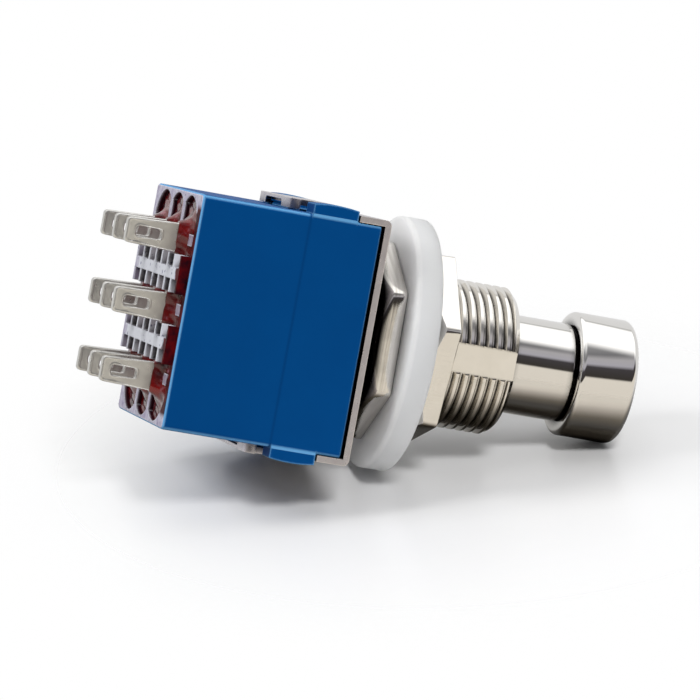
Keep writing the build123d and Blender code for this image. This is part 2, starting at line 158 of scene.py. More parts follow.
def piece(name, points, wrap_rows=True, sharp=SHARP):
    """Object over a grid of points (rows, columns, 3) in millimetres.

    Neighbouring grid points are joined by quads. Columns close on themselves, and rows do
    or stay open. Rows that meet in a point are merged, and the normals are turned outwards.
    """
    rows, columns = points.shape[:2]
    r, c = np.meshgrid(np.arange(rows if wrap_rows else rows - 1), np.arange(columns),
                       indexing="ij")
    r_next, c_next = (r + 1) % rows, (c + 1) % columns
    quads = np.stack([r * columns + c, r * columns + c_next,
                      r_next * columns + c_next, r_next * columns + c], -1)
    mesh = bpy.data.meshes.new(name)
    mesh.from_pydata((points.reshape(-1, 3) * MM).tolist(), [], quads.reshape(-1, 4).tolist())
    return settle(name, mesh, sharp)


def settle(name, mesh, sharp):
    """Merge doubles, face outwards, shade smooth up to an angle, and link."""
    work = bmesh.new()
    work.from_mesh(mesh)
    bmesh.ops.remove_doubles(work, verts=work.verts, dist=SAME_POINT)
    bmesh.ops.dissolve_degenerate(work, edges=work.edges, dist=NO_EDGE)
    bmesh.ops.recalc_face_normals(work, faces=work.faces)
    work.to_mesh(mesh)
    work.free()
    mesh.shade_smooth()
    mesh.set_sharp_from_angle(angle=radians(sharp))
    made = bpy.data.objects.new(name, mesh)
    bpy.context.scene.collection.objects.link(made)
    return made


def join(name, parts):
    """One object out of several, which are used up."""
    work = bmesh.new()
    for part in parts:
        work.from_mesh(part.data)
        bpy.data.objects.remove(part)
    mesh = bpy.data.meshes.new(name)
    work.to_mesh(mesh)
    work.free()
    return settle(name, mesh, SHARP)


def eased(corners, steps=6):
    """Outline of (a, b) points in which each (a, b, radius) corner becomes an arc.

    The arc starts at the tangent length radius * tan(turn / 2) from the corner and
    follows the circle that touches both sides.
    """
    points = []
    for k, corner in enumerate(corners):
        here = np.array(corner[:2], float)
        radius = corner[2] if len(corner) > 2 else 0
        if radius == 0:
            points.append(here)
            continue
        before = np.array(corners[k - 1][:2], float) - here
        after = np.array(corners[(k + 1) % len(corners)][:2], float) - here
        before, after = before / np.hypot(*before), after / np.hypot(*after)
        half = np.arccos(np.clip(before @ after, -1, 1)) / 2
        middle = (before + after) / np.hypot(*(before + after))
        centre = here + middle * radius / sin(half)
        start = here + before * radius / tan(half) - centre
        end = here + after * radius / tan(half) - centre
        turn = pi - 2 * half
        for t in np.linspace(0, 1, steps + 1):
            points.append(centre + (start * sin((1 - t) * turn) + end * sin(t * turn)) / sin(turn))
    return np.array(points)


def polar(radius, angle, z):
    """Points (radius * cos a, radius * sin a, z) over rows of radius and z, columns of angle."""
    return np.stack([radius * np.cos(angle), radius * np.sin(angle), z + 0 * angle], -1)


def turned(name, outline, segments, closed=True):
    """Solid of revolution: each (r, z) of the outline goes round the axis."""
    angle = np.linspace(0, 2 * pi, segments, endpoint=False)
    return piece(name, polar(outline[:, :1], angle, outline[:, 1:]), wrap_rows=closed)


# ---- materials ----
def colour(red, green, blue):
    """Screen colour (0 to 255) as the linear colour that sockets take."""
    share = np.array([red, green, blue]) / 255.0
    linear = np.where(share <= 0.04045, share / 12.92, ((share + 0.055) / 1.055) ** 2.4)
    return (*linear.tolist(), 1.0)


def grey(level):
    """Linear red, green and blue of one level."""
    return (level, level, level)


class Nodes:
    """A node tree, with a method for each kind of node that is used more than once."""

    def __init__(self, tree):
        self.tree = tree

    def add(self, kind, values=(), **settings):
        """New node with its settings, and its input values as (socket, value) pairs."""
        node = self.tree.nodes.new(kind)
        for key, value in settings.items():
            setattr(node, key, value)
        for socket, value in values:
            if isinstance(value, bpy.types.NodeSocket):
                self.tree.links.new(value, node.inputs[socket])
            else:
                node.inputs[socket].default_value = value
        return node

    def ramp(self, source, stops):
        """Linear colours at (position, (red, green, blue)) stops along a 0 to 1 input."""
        node = self.add("ShaderNodeValToRGB", [("Fac", source)])
        elements = node.color_ramp.elements
        while len(elements) < len(stops):
            elements.new(0.5)
        for element, (position, value) in zip(elements, stops):
            element.position = position
            element.color = (*value, 1)
        return node.outputs["Color"]

    def mix(self, share, first, second):
        """Colour between two, by a share."""
        return self.add("ShaderNodeMix", [("Factor", share), ("A", first), ("B", second)],
                        data_type="RGBA").outputs["Result"]

    def blend(self, share, first, second):
        """Shader between two, by a share."""
        return self.add("ShaderNodeMixShader",
                        [(0, share), (1, first), (2, second)]).outputs["Shader"]

    def from_to(self, source, start, end, **settings):
        """0 up to one value of the input, 1 past the other."""
        return self.add("ShaderNodeMapRange", [
            ("Value", source), ("From Min", start), ("From Max", end)],
            **settings).outputs["Result"]

    def reckon(self, operation, *values):
        """Arithmetic on one or two values."""
        return self.add("ShaderNodeMath", enumerate(values),
                        operation=operation).outputs["Value"]

    def highest(self, one, two):
        """The larger of two values."""
        return self.reckon("MAXIMUM", one, two)

    def dot(self, one, two):
        """Scalar product of two vectors."""
        return self.add("ShaderNodeVectorMath", [(0, one), (1, two)],
                        operation="DOT_PRODUCT").outputs["Value"]


class Finish(Nodes):
    """A procedural material: a Principled shader and the nodes that feed it."""

    def __init__(self, name, **sockets):
        self.material = bpy.data.materials.new(name)
        self.material.use_nodes = True
        super().__init__(self.material.node_tree)
        self.shader = self.tree.nodes["Principled BSDF"]
        self.output = self.tree.nodes["Material Output"]
        for socket, value in sockets.items():
            self.shader.inputs[socket.replace("_", " ")].default_value = value
        self.place = self.add("ShaderNodeTexCoord").outputs["Object"]

    def link(self, source, socket):
        """Feed one of the shader's sockets."""
        self.tree.links.new(source, self.shader.inputs[socket])

    def grain(self, per_mm, detail=3.0, stretch=(1, 1, 1)):
        """Noise with about this many lumps to a millimetre, drawn out along the axes."""
        spread = self.add("ShaderNodeMapping", [("Vector", self.place), ("Scale", stretch)])
        return self.add("ShaderNodeTexNoise", [
            ("Vector", spread.outputs["Vector"]), ("Scale", per_mm / MM),
            ("Detail", detail), ("Roughness", 0.55)]).outputs["Fac"]

    def span(self, grain, low, high):
        """The middle of a grain's values, where nearly all of it lies, carried to low..high."""
        return self.add("ShaderNodeMapRange", [
            ("Value", grain), ("From Min", 0.3), ("From Max", 0.7),
            ("To Min", low), ("To Max", high)]).outputs["Result"]

    def bump(self, height, strength, depth_mm, normal=None):
        """Relief of a given depth, over the plain surface or over a shading normal."""
        values = [("Height", height), ("Strength", strength), ("Distance", depth_mm * MM)]
        if normal is not None:
            values.append(("Normal", normal))
        self.link(self.add("ShaderNodeBump", values).outputs["Normal"], "Normal")

    def eased_edges(self, radius_mm):
        """Shading normal that rounds every edge by a small radius."""
        node = self.add("ShaderNodeBevel", [("Radius", radius_mm * MM)], samples=6)
        return node.outputs["Normal"]

    def edges(self, radius_mm):
        """0 on a flat, 1 on an edge: how much the edge's rounding turns the surface there."""
        true = self.add("ShaderNodeNewGeometry").outputs["Normal"]
        return self.from_to(self.dot(self.eased_edges(radius_mm), true), 0.99, 0.86)

    def shelter(self, reach_mm, low, high):
        """0 deep in a crevice, 1 in the open: the share of near rays that get away."""
        free = self.add("ShaderNodeAmbientOcclusion", [("Distance", reach_mm * MM)], samples=8)
        return self.from_to(free.outputs["AO"], low, high)

    def across(self, direction):
        """Distance along a direction, in millimetres."""
        return self.dot(self.place, Vector(direction) / MM)

    def size_of(self, direction, less=0):
        """Size of a distance along a direction, less a length, in millimetres."""
        return self.reckon("SUBTRACT", self.reckon("ABSOLUTE", self.across(direction)), less)


def blue_plastic():
    """Satin moulded body with painted pale highlights down its edges and a painted black shadow
    behind the frame's plate; its rear rim and combs are pale lavender, partly hazed by the poured
    resin and partly a painted reflection of the bright room, with painted shade in their crevices
    and painted highlights on their edges.
    """
    made = Finish("blue_plastic", Roughness=0.5, Specular_IOR_Level=0.06)
    mottled = made.mix(made.grain(0.25, 2.0), colour(0, 68, 129), colour(0, 73, 136))
    y, z = made.across((0, 1, 0)), made.across((0, 0, 1))
    past_x = made.size_of((1, 0, 0), BODY_HALF[0])
    past_y = made.size_of((0, 1, 0), BODY_HALF[1])

    # painted highlights: pale lines down the body's corners, but not on the rails, along its rear
    # edges and on its eased edges
    corner = made.reckon("MULTIPLY", made.from_to(past_y, -0.30, -0.12),
                         made.from_to(past_x, -0.30, -0.12))
    corner = made.reckon("MULTIPLY", corner, made.from_to(past_x, 0.06, 0.03))
    pale = made.highest(corner, made.from_to(z, REAR_RIM + 0.25, REAR_RIM + 0.11))
    sides_with_painted_light = made.mix(made.highest(pale, made.edges(0.22)), mottled, colour(104, 166, 216))

    # the mould's faint parting line on the long faces, and a painted black shadow on the body just
    # behind the frame's plate, where the gap between them lies in shade
    parting = made.reckon("ABSOLUTE", made.reckon("ADD", z, -PARTING_LINE))
    sides_with_painted_light = made.mix(made.from_to(parting, 0.18, 0.0), sides_with_painted_light, colour(0, 62, 120))
    sides_with_painted_light = made.mix(made.from_to(z, -0.86, -0.78), sides_with_painted_light, colour(3, 3, 5))

    # the rear rim's own face and whatever lies inside it, unevenly pale lavender: partly hazed by
    # the resin, partly a painted reflection of the bright room at the grazing angle
    inner = made.reckon("MULTIPLY", made.from_to(made.highest(past_x, past_y), -0.15, -0.25),
                        made.from_to(z, -13.0, -13.4))
    rear = made.highest(made.from_to(z, REAR_RIM + 0.06, REAR_RIM + 0.02), inner)
    haze_and_painted_light = made.mix(made.span(made.grain(1.3, 4.0), 0, 1),
                    colour(168, 158, 186), colour(214, 213, 226))
    # the combs that stand out of the rim are paler, and the pockets inside it are red
    comb = made.reckon("MULTIPLY", made.from_to(z, REAR_RIM - 0.10, REAR_RIM - 0.25),
                       made.from_to(made.size_of((0, 1, 0)), 7.2, 6.9))
    haze_and_painted_light = made.mix(comb, haze_and_painted_light, colour(228, 230, 238))
    haze_and_painted_light = made.mix(made.from_to(z, REAR_RIM + 0.03, REAR_RIM + 0.23), haze_and_painted_light, colour(84, 10, 20))
    stain = made.ramp(made.grain(2.1, 3.0), [(0.62, grey(0)), (0.70, grey(1))])
    haze_and_painted_light = made.mix(stain, haze_and_painted_light, colour(92, 92, 130))
    # painted shade: dark red-black deep in the crevices of the combs and pockets
    haze_and_painted_light = made.mix(made.shelter(1.2, 0.42, 0.80), colour(34, 14, 24), haze_and_painted_light)
    # painted highlight: pale lavender along the edges of the rim and the combs
    haze_and_painted_light = made.mix(made.edges(0.22), haze_and_painted_light, colour(226, 228, 238))
    # resin smeared over the rim and the combs' ends on the -Y side
    ragged = made.reckon("ADD", y, made.span(made.grain(0.9, 3.0), -0.5, 0.5))
    smear = made.reckon("MULTIPLY", made.from_to(ragged, -7.1, -7.4),
                        made.from_to(made.size_of((1, 0, 0)), 8.4, 8.0))
    red = made.mix(made.span(made.grain(1.2, 3.0), 0, 1), colour(20, 4, 14), colour(96, 6, 10))
    haze_and_painted_light = made.mix(smear, haze_and_painted_light, red)

    made.link(made.mix(rear, sides_with_painted_light, haze_and_painted_light), "Base Color")
    made.bump(made.grain(9.0, 2.0), 0.25, 0.01, made.eased_edges(0.12))
    return made.material


def zinc_sheet():
    """Zinc on folded steel: a faint rolled grain, a painted highlight along its cut edges, painted
    shade in its corners.
    """
    made = Finish("zinc_sheet", Metallic=1.0)
    sheet = made.mix(made.grain(0.8, 4.0), colour(184, 180, 186), colour(212, 209, 214))
    # painted shade: near black in the sheet's corners and crevices
    sheet = made.mix(made.shelter(1.6, 0.30, 0.75), colour(22, 18, 16), sheet)
    # painted highlight: pale along the edges
    made.link(made.mix(made.edges(0.14), sheet, colour(244, 238, 236)), "Base Color")
    made.link(made.span(made.grain(2.5, 4.0), 0.24, 0.40), "Roughness")
    made.bump(made.grain(6.0, 3.0, (1, 8, 1)), 0.25, 0.008, made.eased_edges(0.07))
    return made.material


def nickel_plate(name="nickel_plate", streaks=(1, 1, 0.15), strength=0.25, dull=0.0,
                 shade=(0.8, 0.35, 0.85), dark_below=None):
    """Bright nickel over turned brass: warm, streaked by the tool, with painted shade in its
    grooves.

    streaks and strength stretch and deepen the tool's marks, dull is how brown the marks get,
    shade says what counts as a groove for the painted shade (see shelter), and below the height
    dark_below the plate is painted black, a painted reflection of the dark of the frame that the
    piece faces there.
    """
    made = Finish(name, Metallic=1.0)
    bright = made.mix(made.grain(0.35, 3.0), colour(230, 226, 219), colour(244, 241, 236))
    marks = made.span(made.grain(2.6, 2.0, streaks), 0, dull)
    bright = made.mix(marks, bright, colour(120, 108, 92))
    # painted shade: dark brown in the grooves
    bright = made.mix(made.shelter(*shade), colour(26, 20, 14), bright)
    # painted reflection: the plate goes black below dark_below, where the piece faces the dark gap
    # by the frame
    if dark_below is not None:
        low = made.from_to(made.across((0, 0, 1)), dark_below + 0.1, dark_below - 0.45)
        bright = made.mix(low, bright, colour(14, 12, 10))
    made.link(bright, "Base Color")
    made.link(made.span(made.grain(1.2, 4.0), 0.06, 0.16), "Roughness")
    made.bump(made.grain(5.0, 3.0, streaks), strength, 0.006)
    return made.material


def bright_chrome():
    """Polished chrome with the faintest turning lines and painted shade in its crevices."""
    made = Finish("bright_chrome", Metallic=1.0)
    polished = made.mix(made.grain(0.3, 2.0), colour(230, 228, 225), colour(237, 235, 232))
    # painted shade: near black in crevices, such as under the cap
    made.link(made.mix(made.shelter(1.1, 0.50, 0.82), colour(12, 10, 8), polished), "Base Color")
    made.link(made.span(made.grain(0.9, 3.0), 0.04, 0.08), "Roughness")
    made.bump(made.grain(3.0, 2.0, (0.3, 0.3, 4.0)), 0.05, 0.003)
    return made.material


def natural_nylon():
    """Milky nylon that light goes into."""
    made = Finish("natural_nylon", Roughness=0.45, Specular_IOR_Level=0.3, Subsurface_Weight=1.0,
                  Subsurface_Radius=(0.0055, 0.0055, 0.0057), Subsurface_Scale=1.0)
    milky = made.mix(made.grain(0.12, 2.0), colour(216, 217, 219), colour(228, 229, 230))
    # painted light: the rear face, which the lamps barely reach, is made whiter than the rim
    painted_light_rear = made.from_to(made.across((0, 0, 1)), WASHER_LOW[2] + 0.5, WASHER_LOW[2] + 0.1)
    made.link(made.mix(painted_light_rear, milky, colour(252, 252, 253)), "Base Color")
    made.bump(made.grain(1.6, 3.0), 0.18, 0.02, made.eased_edges(0.12))
    return made.material


def poured_resin():
    """Dark red potting resin with a wet surface, paler patches that are partly dusty and partly
    painted sheen, and painted shade in its hollows.
    """
    made = Finish("poured_resin", Specular_IOR_Level=0.5, Coat_Weight=0.5, Coat_Roughness=0.08)
    body = made.mix(made.span(made.grain(0.7, 4.0), 0, 1), colour(26, 0, 2), colour(122, 6, 6))
    # pale pink patches, partly dusty and partly a painted sheen of the wet resin
    dust_and_sheen = made.ramp(made.grain(1.1, 5.0), [(0.60, grey(0)), (0.70, grey(1))])
    resin = made.mix(dust_and_sheen, body, colour(150, 92, 106))
    # painted shade: near black in the hollows round the lugs
    made.link(made.mix(made.shelter(1.2, 0.2, 0.7), colour(22, 2, 6), resin), "Base Color")
    made.link(made.span(made.grain(2.2, 4.0), 0.12, 0.40), "Roughness")
    made.bump(made.grain(1.5, 4.0), 0.5, 0.08)
    return made.material


def tin_plate():
    """Dull-bright tin on stamped brass lugs, lightly mottled, with painted shade along its bends
    and eyelets and painted white highlights on its edges.
    """
    made = Finish("tin_plate")
    tinned = made.mix(made.grain(0.9, 4.0), colour(196, 194, 189), colour(224, 223, 218))
    # painted shade: dark red-brown along the bends and eyelets
    tinned = made.mix(made.shelter(0.8, 0.30, 0.78), colour(62, 20, 18), tinned)
    # painted highlight: white along the edges, less metallic there
    edge_highlight = made.edges(0.17)
    made.link(made.mix(edge_highlight, tinned, colour(255, 254, 250)), "Base Color")
    made.link(made.span(edge_highlight, 0.85, 0.1), "Metallic")
    made.link(made.span(made.grain(2.2, 4.0), 0.26, 0.38), "Roughness")
    made.bump(made.grain(3.0, 4.0), 0.3, 0.015)
    return made.material


def acetal():
    """Ivory bearing plastic of the inner pieces."""
    made = Finish("acetal", Roughness=0.4)
    ivory = made.mix(made.grain(0.4, 2.0), colour(222, 218, 205), colour(236, 232, 220))
    made.link(ivory, "Base Color")
    made.bump(made.grain(7.0, 2.0), 0.2, 0.008)
    return made.material


def spring_wire():
    """Drawn steel wire."""
    made = Finish("spring_wire", Metallic=1.0)
    steel = made.mix(made.grain(1.5, 3.0), colour(150, 150, 152), colour(184, 184, 186))
    made.link(steel, "Base Color")
    made.link(made.span(made.grain(3.0, 3.0), 0.2, 0.35), "Roughness")
    return made.material


def contact_silver():
    """Silver plate of the blades and the plungers."""
    made = Finish("contact_silver", Metallic=1.0)
    plated = made.mix(made.grain(1.2, 3.0), colour(214, 212, 204), colour(238, 236, 230))
    made.link(plated, "Base Color")
    made.link(made.span(made.grain(2.5, 3.0), 0.12, 0.28), "Roughness")
    return made.material


# ---- pieces ----
def thread_radius(angle, z):
    """Radius of the thread: a flat-topped ridge round a helix, run out at the bevelled end.

    The ridge is a triangle wave of z / pitch - angle / turn, clipped flat at the crest and
    at the root; the flanks between them rise by the thread's depth. The bevel takes the
    radius down one for one at the end.
    """
    phase = (z / THREAD_PITCH - angle / (2 * pi)) % 1.0
    flank = 1 - THREAD_CREST - THREAD_ROOT
    ridge = np.clip((np.abs(2 * phase - 1) - THREAD_ROOT) / flank, 0, 1)
    radius = THREAD_R - THREAD_DEPTH * (1 - ridge)
    bevel = THREAD_R - np.clip(z - (BUSHING_HIGH[2] - THREAD_CHAMFER), 0, None)
    return np.minimum(radius, bevel)


def make_bushing():
    """Threaded bushing: one closed outline carried round, with the keyway cut in its columns.

    Below the thread each row is a circle. Along it the rows follow the helix, z rising by
    pitch * angle / turn and held between the thread's two ends, so that crests stay sharp.
    """
    bore_chamfer, tail_chamfer, collar_ease = 0.25, 0.2, 0.05
    floor = THREAD_R - KEYWAY_DEPTH
    half = KEYWAY_WIDTH / 2
    gap = np.arcsin(half / THREAD_R)
    floor_x = np.linspace(-half, half, 9)
    # angles are measured from the keyway's middle, which faces -Y
    around = np.concatenate([np.arctan2(floor_x, floor), np.linspace(gap, 2 * pi - gap, 240)])
    in_key = np.arange(around.size) < floor_x.size
    tail, free, top = BUSHING_LOW[2], OUTER_NUT_HIGH[2], BUSHING_HIGH[2]
    plain = np.array([
        (BORE_R + bore_chamfer, top), (BORE_R, top - bore_chamfer), (BORE_R, LIP_TOP),
        (LIP_R, LIP_TOP), (LIP_R, tail), (TAIL_R - tail_chamfer, tail),
        (TAIL_R, tail + tail_chamfer), (TAIL_R, -SHEET), (NECK_R, -SHEET), (NECK_R, 0),
        (COLLAR_R - collar_ease, 0), (COLLAR_R, collar_ease),
        (COLLAR_R, COLLAR_HEIGHT - collar_ease), (COLLAR_R - collar_ease, COLLAR_HEIGHT)])
    pitch_line = np.array([(PITCH_R, COLLAR_HEIGHT), (PITCH_R, free - 0.02)])
    # a turn's rows, in pitches: middle and edge of the crest, flank, edges of the root, and back
    rows = np.array([0, THREAD_CREST / 2, 0.29375, 0.5 - THREAD_ROOT / 2,
                     0.5 + THREAD_ROOT / 2, 0.70625, 1 - THREAD_CREST / 2])
    turns = np.arange(int((top - free) / THREAD_PITCH) + 3) - 1
    steps = (turns[:, None] + rows).ravel()
    start = np.floor(free / THREAD_PITCH)
    z = np.clip((start + steps[:, None] + around / (2 * pi)) * THREAD_PITCH, free, top)
    z[0], z[-1] = free, top
    bevel_start = top - THREAD_CHAMFER
    z = np.sort(np.concatenate([z, np.full((1, around.size), bevel_start)]), axis=0)
    radius = thread_radius(around, z)
    smooth = np.concatenate([plain, pitch_line])
    radius = np.concatenate([np.repeat(smooth[:, :1], around.size, axis=1), radius])
    z = np.concatenate([np.repeat(smooth[:, 1:], around.size, axis=1), z])
    x, y = radius * np.sin(around), -radius * np.cos(around)
    cut = (np.arange(len(z)) >= len(plain))[:, None] & in_key
    x, y = np.where(cut, np.resize(floor_x, around.size), x), np.where(cut, -floor, y)
    return piece("threaded_bushing", np.stack([x, y, z], -1), sharp=30.0)


def make_nut(name, low, high, turn):
    """Hex nut: radius round the axis is the hexagon's, eased at its corners, or the rear cone's.

    The hexagon is the soft minimum, by a power mean, of six half planes; the cone rises
    from the rear face's circle. The front face has only its burr taken off.
    """
    power, columns = 60.0, 360
    burr, bore_chamfer = 0.06, 0.35
    angle = np.linspace(0, 2 * pi, columns, endpoint=False)
    sides = radians(turn) + np.arange(6) * pi / 3 + pi / 6
    reach = np.clip(np.cos(angle[:, None] - sides), 1e-3, None) / (NUT_FLATS / 2)
    hexagon = (reach ** power).sum(1) ** (-1 / power)
    thick = high - low
    cone_height = (NUT_CORNER_R - NUT_FACE_R) * tan(NUT_CONE)
    depth = np.concatenate([np.linspace(0, cone_height, 12), [thick - burr, thick]])
    cone = NUT_FACE_R + depth / tan(NUT_CONE)
    wall = (hexagon[None, :] ** -power + cone[:, None] ** -power) ** (-1 / power)
    wall[-1] -= burr
    ends = np.array([
        (NUT_BORE_R + bore_chamfer, low), (NUT_FACE_R - 0.2, low),
        (NUT_BORE_R + bore_chamfer, high), (NUT_BORE_R, high - bore_chamfer),
        (NUT_BORE_R, low + bore_chamfer)])
    circles = np.repeat(ends[:, :1], columns, axis=1)
    radius = np.concatenate([circles[:2], wall, circles[2:]])
    z = np.concatenate([ends[:2, 1], low + depth, ends[2:, 1]])[:, None]
    return piece(name, polar(radius, angle, z), sharp=24.0)


def make_washer():
    """Nylon spacer: a ring with both rims rounded."""
    low, high, outer_r = WASHER_LOW[2], WASHER_HIGH[2], WASHER_HIGH[0]
    bore_round, rim_round = 0.1, 0.3
    outline = eased([
        (WASHER_BORE_R, low, bore_round), (outer_r, low, rim_round),
        (outer_r, high, rim_round), (WASHER_BORE_R, high, bore_round)])
    return turned("nylon_washer", outline, 240)


def make_button():
    """Chrome push button's turned body: cap and stem in one, with a rod at the inner end."""
    top, under = BUTTON_HIGH[2], CAP_BOTTOM - RELIEF
    outline = eased([
        (0, top), (CAP_R, top, 0.55), (CAP_R, CAP_BOTTOM, 0.42), (RELIEF_R, CAP_BOTTOM),
        (RELIEF_R, under), (STEM_R, under, 0.06), (STEM_R, STEM_BOTTOM + 0.2),
        (STEM_R - 0.2, STEM_BOTTOM), (ROD_R, STEM_BOTTOM), (ROD_R, FORK_TOP), (0, FORK_TOP)], 8)
    return turned("body", outline, 256, closed=False)


def prong(side):
    """One fork prong: the part of the rod's circle outside the slot, carried down."""
    opening = np.arccos(FORK_HALF / ROD_R)
    angle = np.linspace(-opening, opening, 40)
    ring = np.stack([side * ROD_R * np.cos(angle), side * ROD_R * np.sin(angle)], -1)
    middle = np.repeat(ring.mean(0)[None], angle.size, axis=0)
    levels = (FORK_TOP, FORK_TOP, BUTTON_LOW[2], BUTTON_LOW[2])
    rows = [np.column_stack([loop, np.full(angle.size, z)])
            for loop, z in zip((middle, ring, ring, middle), levels)]
    return piece("prong", np.array(rows), wrap_rows=False)


def resample(outline, count):
    """Points evenly spaced along a closed outline."""
    closed = np.vstack([outline, outline[:1]])
    run = np.concatenate([[0], np.cumsum(np.hypot(*np.diff(closed, axis=0).T))])
    at = np.linspace(0, run[-1], count, endpoint=False)
    return np.stack([np.interp(at, run, closed[:, 0]), np.interp(at, run, closed[:, 1])], -1)


def mirrored(start, side):
    """Corners of a closed outline: a start on the axis, one side, and that side's mirror image."""
    return [start, *side, *((-a, *rest) for a, *rest in reversed(side))]


def lug(name, x, y, inner_end):
    """Stamped lug: a ring of surface between its outline and its eyelet, with rolled edges.

    A point is outline + share * (eyelet - outline), and its thickness follows a quarter
    circle near either edge, then the dished face.
    """
    edge, roll, burr, dish = LUG_HALF_THICKNESS, 0.16, 0.12, 0.03
    eye_low, eye_high = (LUG_TIP + far for far in EYELET_FROM_TIP)
    outline = resample(eased(mirrored((0, LUG_TIP), [
        (LUG_TIP_HALF, LUG_TIP, 0.3), (LUG_ROOT_HALF, FLOOR_BOTTOM),
        (LUG_TAIL_HALF, FLOOR_BOTTOM), (LUG_TAIL_HALF, inner_end, 0.1)])), LUG_POINTS)
    eyelet = resample(eased(mirrored((0, eye_low), [
        (EYELET_HALF, eye_low, 0.25), (EYELET_HALF, eye_high, 0.25)])), LUG_POINTS)
    gap = eyelet - outline
    length = np.hypot(gap[:, 0], gap[:, 1])
    turn = np.linspace(0, pi / 2, 5)

    def rolled(radius, beyond):
        """Distances in from an edge, and the half thickness at each."""
        inset = np.append(radius * (1 - np.cos(turn)), beyond)
        depth = np.append(edge - radius + radius * np.sin(turn), (edge - dish, edge - dish))
        return inset, depth

    inset, depth = rolled(roll, (0.24, 0.30))
    eye_inset, eye_depth = rolled(burr, (0.20, 0.26))
    half = [(np.minimum(k / length, 0.48), d) for k, d in zip(inset, depth)]
    half += [(1 - np.minimum(k / length, 0.48), d)
             for k, d in zip(eye_inset[::-1], eye_depth[::-1])]
    rows = []
    for side, loop in ((-1, half), (1, half[::-1])):
        for share, d in loop:
            spot = outline + gap * share[:, None]
            rows.append(np.stack([x + spot[:, 0], np.full(LUG_POINTS, y + side * d),
                                  spot[:, 1]], -1))
    return piece(name, np.array(rows), sharp=40.0)


def rounded_box(name, low, high):
    """Box with eased corners: a sphere's direction pushed out by a power law to the box."""
    steps, power = 12, 16
    low, high = np.array(low), np.array(high)
    u, v = np.meshgrid(np.linspace(-pi / 2, pi / 2, steps + 1),
                       np.linspace(0, 2 * pi, 4 * steps, endpoint=False), indexing="ij")
    way = np.stack([np.cos(u) * np.cos(v), np.cos(u) * np.sin(v), np.sin(u)], -1)
    size = (np.abs(way) ** power).sum(-1, keepdims=True) ** (1 / power)
    points = (low + high) / 2 + way / size * (high - low) / 2
    return piece(name, points, wrap_rows=False, sharp=40.0)


def make_potting():
    """Poured resin: a level that creeps up round every lug.

    Its height over (x, y) is the level plus, at each lug, a climb that falls off as
    exp(-distance / reach) from the lug's outline, with a little unevenness.
    """
    low, high = POTTING_LOW, POTTING_HIGH
    foot_x, foot_y = 1.1, 0.3
    x, y = np.meshgrid(np.linspace(low[0], high[0], 150), np.linspace(low[1], high[1], 140),
                       indexing="ij")
    climb = np.zeros_like(x)
    for number, lug_x in enumerate(POLES):
        for other, lug_y in enumerate(THROWS):
            off_x = np.clip(np.abs(x - lug_x) - foot_x, 0, None)
            off_y = np.clip(np.abs(y - lug_y) - foot_y, 0, None)
            lean = 1 + 0.18 * np.sin(2.3 * x + 1.7 * number) * np.cos(1.9 * y + other)
            fall = np.exp(-np.hypot(off_x, off_y) / POTTING_REACH)
            climb = np.maximum(climb, POTTING_CLIMB * lean * fall)
    ripple = (0.05 * np.sin(3.1 * x + 0.6) * np.sin(2.7 * y + 1.1)
              + 0.03 * np.sin(7.3 * x + 4.1 * y))
    top = np.maximum(POTTING_LEVEL - climb + ripple, low[2])
    above = np.stack([x, y, top], -1)
    below = np.stack([x, y, np.full_like(x, high[2])], -1)[:, ::-1]
    loop = np.concatenate([above, below], axis=1)
    ends = loop[[0, -1]]
    ends[..., 2] = high[2]
    return piece("resin", np.concatenate([ends[:1], loop, ends[1:]]), wrap_rows=False, sharp=60.0)


def finish(made, material, body, slot, *replaced):
    """Give a piece its material, its body and the nodes that it stands for; its slot is not used.
    """
    made.data.materials.clear()
    made.data.materials.append(material)
    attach(made, body)
    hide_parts(*replaced)


tin = tin_plate()
silver = contact_silver()
ivory = acetal()
wire = spring_wire()
carried = {
    "housing": blue_plastic(), "frame": zinc_sheet(), "retaining_clip": wire,
    "pusher_pin": wire, "pusher": ivory, "return_spring": wire, "guide_plate": ivory,
    "rocker": ivory,
}
for number in (1, 2, 3):
    carried["contact_plunger_%d" % number] = silver
    carried["plunger_spring_%d" % number] = wire
    carried["contact_blade_%d" % number] = silver
for name, material in carried.items():
    nodes[name].data.materials.clear()
    nodes[name].data.materials.append(material)

threaded = nickel_plate("threaded_nickel", shade=(0.4, 0.22, 0.70))
finish(make_bushing(), threaded, "switch", "nickel", "bushing")
streaked = nickel_plate("streaked_nickel", streaks=(0.05, 0.05, 1.4), strength=0.5, dull=0.35,
                        shade=(0.7, 0.25, 0.70), dark_below=INNER_NUT_LOW[2] + 1.0)
finish(make_nut("inner_hex_nut", INNER_NUT_LOW[2], INNER_NUT_HIGH[2], INNER_NUT_TURN), streaked,
       "switch", "nickel", "inner_nut")
finish(make_nut("outer_hex_nut", OUTER_NUT_LOW[2], OUTER_NUT_HIGH[2], OUTER_NUT_TURN),
       nickel_plate(), "switch", "nickel", "outer_nut")
finish(make_washer(), natural_nylon(), "switch", "nylon", "spacer_washer")
finish(join("push_button", [make_button(), prong(-1), prong(1)]), bright_chrome(), "button",
       "chrome", "button")
finish(make_potting(), poured_resin(), "switch", "potting", "potting")
for number, x in enumerate(POLES, 1):
    for letter, y in zip(("a", "", "b"), THROWS):
        if letter:
            name = "throw_lug_%d%s" % (number, letter)
            pad_low = low_high(name)[1][2] - PAD_THICKNESS
            parts = [lug("tag", x, y, pad_low),
                     rounded_box("pad", (x - PAD_HALF, y - PAD_HALF, pad_low),
                                 (x + PAD_HALF, y + PAD_HALF, pad_low + PAD_THICKNESS))]
        else:
            name = "common_lug_%d" % number
            parts = [lug("tag", x, y, low_high(name)[1][2])]
        finish(join("tinned_" + name, parts), tin, "switch", "tin_plate", name)


